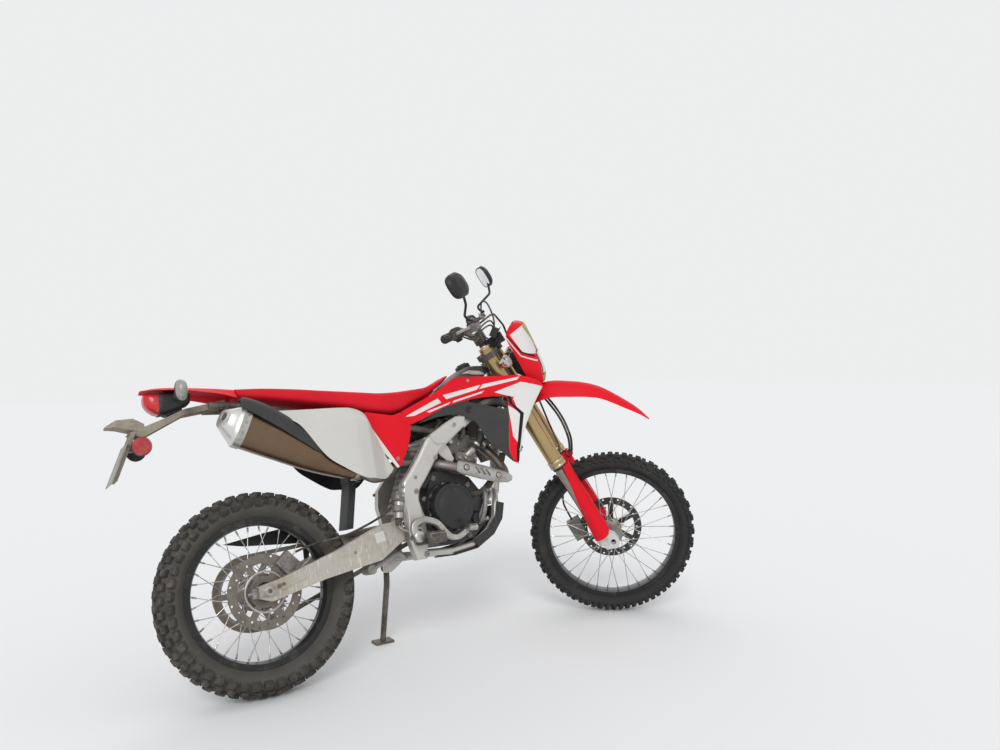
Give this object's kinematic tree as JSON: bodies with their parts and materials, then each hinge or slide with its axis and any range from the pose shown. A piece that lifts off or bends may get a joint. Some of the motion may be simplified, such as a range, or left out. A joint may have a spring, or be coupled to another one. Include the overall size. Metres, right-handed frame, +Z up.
{
  "type": "dual sport motorcycle",
  "caption": "Single-cylinder dual sport motorcycle with wire wheels, long-travel fork, high pipe, red bodywork and a side stand, parked leaning with its bars turned right",
  "frame": {"origin": "on the road under the middle of the parked motorcycle's bounding box", "axes": "+X forward, +Y to the left, +Z up"},
  "size_m": [2.202, 0.8433, 1.4935],
  "materials": {
    "front_tyre_rubber": "worn knobbly rubber",
    "rear_tyre_rubber": "dusty knobbly rubber",
    "black_rim": "black anodised",
    "hub_metal": "cast, dull",
    "spoke_steel": "bright wire",
    "axle_steel": "plain",
    "disc_steel": "ground, light wear",
    "frame_alloy": "brushed, scuffed",
    "dark_steel": "satin black",
    "swingarm_alloy": "dusty, scratched",
    "shock_steel": "white spring, dusty",
    "case_alloy": "cast, dusty",
    "cover_black": "worn black",
    "head_alloy": "cast",
    "black_plastic": "grained",
    "grey_plastic": "scuffed",
    "red_plastic": "gloss with plain stripes",
    "white_plastic": "off-white",
    "tank_cover": "dark grey",
    "seat_cover": "red grip vinyl",
    "radiator_alloy": "finned",
    "muffler_metal": "bronze brown",
    "header_steel": "heat-tinted",
    "guard_steel": "bright",
    "gold_anodised": "bronze gold",
    "fork_steel": "polished, cast feet",
    "bar_metal": "grey",
    "control_black": "black",
    "lamp_lens": "clear lens",
    "tail_lens": "red lens",
    "signal_lens": "silver-white lens",
    "tan_plastic": "dusty",
    "plate_paint": "blank plate",
    "chain_steel": "oiled",
    "peg_steel": "worn"
  },
  "bodies": {
    "chassis": {"rear_axle": "axle_steel", "main_frame": "frame_alloy", "subframe": "dark_steel", "swingarm": "swingarm_alloy", "rear_shock": "shock_steel", "engine_cases": "case_alloy", "engine_covers": "cover_black", "cylinder_head": "head_alloy", "airbox": "black_plastic", "radiators": "radiator_alloy", "fuel_tank": "tank_cover", "seat": "seat_cover", "side_covers": "red_plastic", "tank_shrouds": "red_plastic", "radiator_covers": "grey_plastic", "rear_panels": "white_plastic", "rear_fender": "red_plastic", "tail_light": "tail_lens", "rear_signals": "signal_lens", "plate_bracket": "tan_plastic", "number_plate": "plate_paint", "exhaust_header": "header_steel", "header_guard": "guard_steel", "muffler": "muffler_metal", "muffler_shield": "black_plastic", "skid_plate": "black_plastic", "foot_controls": "peg_steel", "rear_caliper": "case_alloy", "drive_chain": "chain_steel", "chain_guard": "black_plastic"},
    "steering": {"fork_clamps": "case_alloy", "fork_outers": "gold_anodised", "fork_legs": "fork_steel", "fork_guards": "red_plastic", "front_axle": "axle_steel", "handlebar": "bar_metal", "hand_controls": "control_black", "mirrors": "black_plastic", "headlight_cowl": "red_plastic", "headlight": "lamp_lens", "instrument": "black_plastic", "front_fender": "red_plastic", "front_signals": "signal_lens", "front_caliper": "case_alloy", "brake_hose": "control_black"},
    "front_wheel": {"front_tyre": "front_tyre_rubber", "front_rim": "black_rim", "front_hub": "hub_metal", "front_spokes": "spoke_steel", "front_disc": "disc_steel"},
    "rear_wheel": {"rear_tyre": "rear_tyre_rubber", "rear_rim": "black_rim", "rear_hub": "hub_metal", "rear_spokes": "spoke_steel", "rear_disc": "disc_steel", "rear_sprocket": "disc_steel"},
    "side_stand_leg": {"side_stand": "dark_steel"}
  },
  "joints": [
    {"name": "steering", "type": "hinge", "parent": "chassis", "child": "steering", "pos_m": [0.42612, 0.00453, 0.93138], "axis": [-0.4787, 0.2124, 0.8519], "range_deg": [0, 87]},
    {"name": "front_wheel_spin", "type": "hinge", "parent": "steering", "child": "front_wheel", "pos_m": [0.81475, -0.18688, 0.34293], "axis": [0.6044, 0.7835, 0.1443], "continuous": true},
    {"name": "rear_wheel_spin", "type": "hinge", "parent": "chassis", "child": "rear_wheel", "pos_m": [-0.67003, -0.14755, 0.32139], "axis": [0, 0.9703, -0.2419], "continuous": true},
    {"name": "side_stand_pivot", "type": "hinge", "parent": "chassis", "child": "side_stand_leg", "pos_m": [-0.16505, -0.05541, 0.31068], "axis": [0, 0.9703, -0.2419], "range_deg": [0, 90]}
  ]
}
